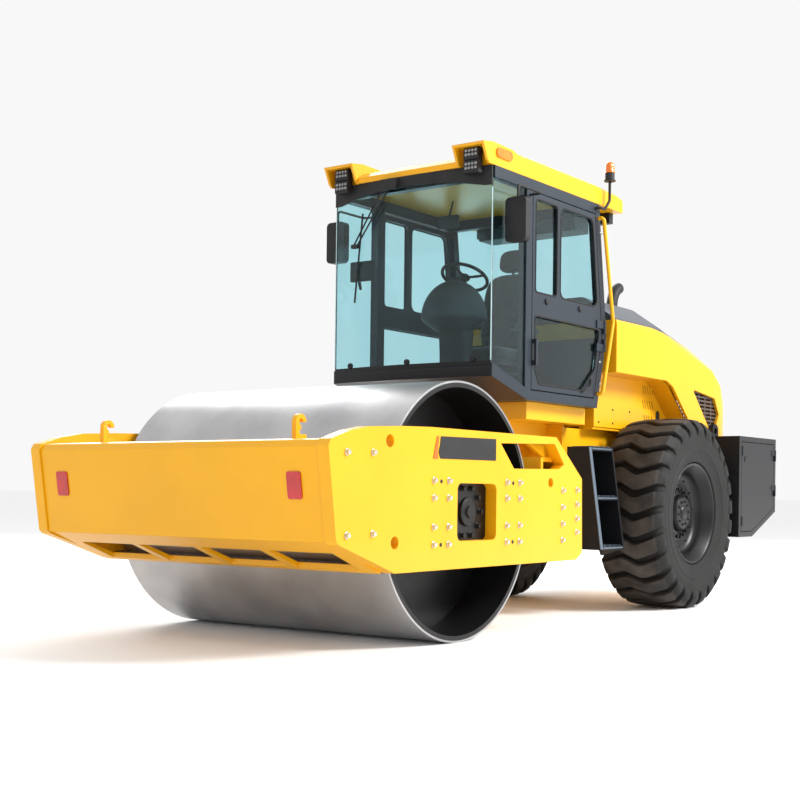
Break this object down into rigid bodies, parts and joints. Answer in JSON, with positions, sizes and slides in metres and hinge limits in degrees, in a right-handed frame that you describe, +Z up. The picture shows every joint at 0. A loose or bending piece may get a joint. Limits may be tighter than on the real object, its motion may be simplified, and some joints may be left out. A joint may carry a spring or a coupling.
{
  "type": "single-drum road roller",
  "caption": "Articulated road roller with a smooth steel drum in a box frame, glazed cab, tilting engine hood and lugged rear tyres.",
  "frame": {"origin": "on the ground, under the middle of the machine's whole length and width", "axes": "+X to the machine's left, -Y forward toward the drum, +Z up"},
  "size_m": [2.42, 6.472, 3.515],
  "materials": {
    "yellow_paint": "gloss paint",
    "dark_paint": "satin paint",
    "cab_paint": "satin paint",
    "drum_steel": "rolled steel",
    "rubber": "matte",
    "rim_paint": "gloss paint",
    "glass": "tinted",
    "black_plastic": "matte",
    "yellow_plastic": "gloss",
    "amber": "clear lens",
    "red_lens": "lens",
    "seat_cloth": "woven",
    "chrome": "polished",
    "engine_paint": "cast",
    "steel": "satin"
  },
  "bodies": {
    "rear_frame": {"chassis": "yellow_paint", "axle": "dark_paint", "steps_left": "dark_paint", "steps_right": "dark_paint", "cab_deck": "yellow_paint", "cab_floor": "cab_paint", "cab_frame": "cab_paint", "windshield": "glass", "side_glass": "glass", "rear_window": "glass", "roof": "yellow_plastic", "roof_lamps": "black_plastic", "beacon": "amber", "ac_box": "black_plastic", "mirrors": "black_plastic", "grab_rails": "yellow_paint", "seat": "seat_cloth", "console": "black_plastic", "engine": "engine_paint", "side_box_left": "dark_paint", "side_box_right": "dark_paint", "rear_weight": "dark_paint", "lifting_eyes": "dark_paint", "frame_nose": "yellow_paint", "side_lamps": "amber", "visor": "black_plastic", "beacon_pole": "black_plastic", "wiper": "black_plastic"},
    "hitch_body": {"hitch": "dark_paint"},
    "drum_module": {"drum_frame_left": "yellow_paint", "drum_frame_right": "yellow_paint", "front_beam": "yellow_paint", "beam_hooks": "yellow_paint", "reflectors": "red_lens", "rear_yoke": "yellow_paint", "drum_carriers": "dark_paint", "scrapers": "steel"},
    "drum_roll": {"drum": "drum_steel"},
    "wheel_left": {"rim_left": "rim_paint", "tyre_left": "rubber"},
    "wheel_right": {"rim_right": "rim_paint", "tyre_right": "rubber"},
    "steer_barrel_body_left": {"steer_barrel_left": "dark_paint"},
    "steer_barrel_body_right": {"steer_barrel_right": "dark_paint"},
    "steer_rod_body_left": {"steer_rod_left": "chrome"},
    "steer_rod_body_right": {"steer_rod_right": "chrome"},
    "door_body_left": {"door_left": "cab_paint", "door_glass_left": "glass"},
    "door_body_right": {"door_right": "cab_paint", "door_glass_right": "glass"},
    "hood_body": {"hood": "yellow_plastic", "hood_top": "cab_paint", "hood_grilles": "black_plastic", "tail_lamps": "red_lens", "exhaust": "black_plastic"},
    "lid_body_left": {"box_lid_left": "dark_paint"},
    "lid_body_right": {"box_lid_right": "dark_paint"}
  },
  "joints": [
    {"name": "steer", "type": "hinge", "parent": "rear_frame", "child": "hitch_body", "pos_m": [0, -0.194, 0.8], "axis": [0, 0, 1], "range_deg": [-33, 33]},
    {"name": "frame_roll", "type": "hinge", "parent": "hitch_body", "child": "drum_module", "pos_m": [0, -0.539, 0.8], "axis": [0, 1, 0], "range_deg": [-10, 10]},
    {"name": "drum_spin", "type": "hinge", "parent": "drum_module", "child": "drum_roll", "pos_m": [0, -1.814, 0.8], "axis": [-1, 0, 0], "continuous": true},
    {"name": "wheel_spin_left", "type": "hinge", "parent": "rear_frame", "child": "wheel_left", "pos_m": [0.85, 1.586, 0.775], "axis": [-1, 0, 0], "continuous": true},
    {"name": "wheel_spin_right", "type": "hinge", "parent": "rear_frame", "child": "wheel_right", "pos_m": [-0.85, 1.586, 0.775], "axis": [-1, 0, 0], "continuous": true},
    {"name": "door_open_left", "type": "hinge", "parent": "rear_frame", "child": "door_body_left", "pos_m": [0.715, 0.726, 2.15], "axis": [0, 0, 1], "range_deg": [0, 90]},
    {"name": "door_open_right", "type": "hinge", "parent": "rear_frame", "child": "door_body_right", "pos_m": [-0.715, 0.726, 2.15], "axis": [0, 0, -1], "range_deg": [0, 90]},
    {"name": "hood_open", "type": "hinge", "parent": "rear_frame", "child": "hood_body", "pos_m": [0, 3.066, 1.475], "axis": [-1, 0, 0], "range_deg": [0, 50]},
    {"name": "lid_open_left", "type": "hinge", "parent": "rear_frame", "child": "lid_body_left", "pos_m": [1.16, 3.199, 1.1], "axis": [0, 0, 1], "range_deg": [0, 100]},
    {"name": "lid_open_right", "type": "hinge", "parent": "rear_frame", "child": "lid_body_right", "pos_m": [-1.16, 3.199, 1.1], "axis": [0, 0, -1], "range_deg": [0, 100]},
    {"name": "barrel_swing_left", "type": "hinge", "parent": "rear_frame", "child": "steer_barrel_body_left", "pos_m": [0.3, 0.496, 0.8], "axis": [0, 0, 1], "range_deg": [-8, 8]},
    {"name": "rod_slide_left", "type": "slide", "parent": "steer_barrel_body_left", "child": "steer_rod_body_left", "axis": [0, -1, 0], "range_m": [-0.1654, 0.1654]},
    {"name": "barrel_swing_right", "type": "hinge", "parent": "rear_frame", "child": "steer_barrel_body_right", "pos_m": [-0.3, 0.496, 0.8], "axis": [0, 0, 1], "range_deg": [-8, 8]},
    {"name": "rod_slide_right", "type": "slide", "parent": "steer_barrel_body_right", "child": "steer_rod_body_right", "axis": [0, -1, 0], "range_m": [-0.1654, 0.1654]}
  ],
  "couplings": [
    {"joint": "rod_slide_left", "follows": "steer", "m_per_rad": -0.28369},
    {"joint": "rod_slide_right", "follows": "steer", "m_per_rad": 0.28369},
    {"joint": "barrel_swing_left", "follows": "steer", "ratio": -0.03},
    {"joint": "barrel_swing_right", "follows": "steer", "ratio": -0.03}
  ]
}
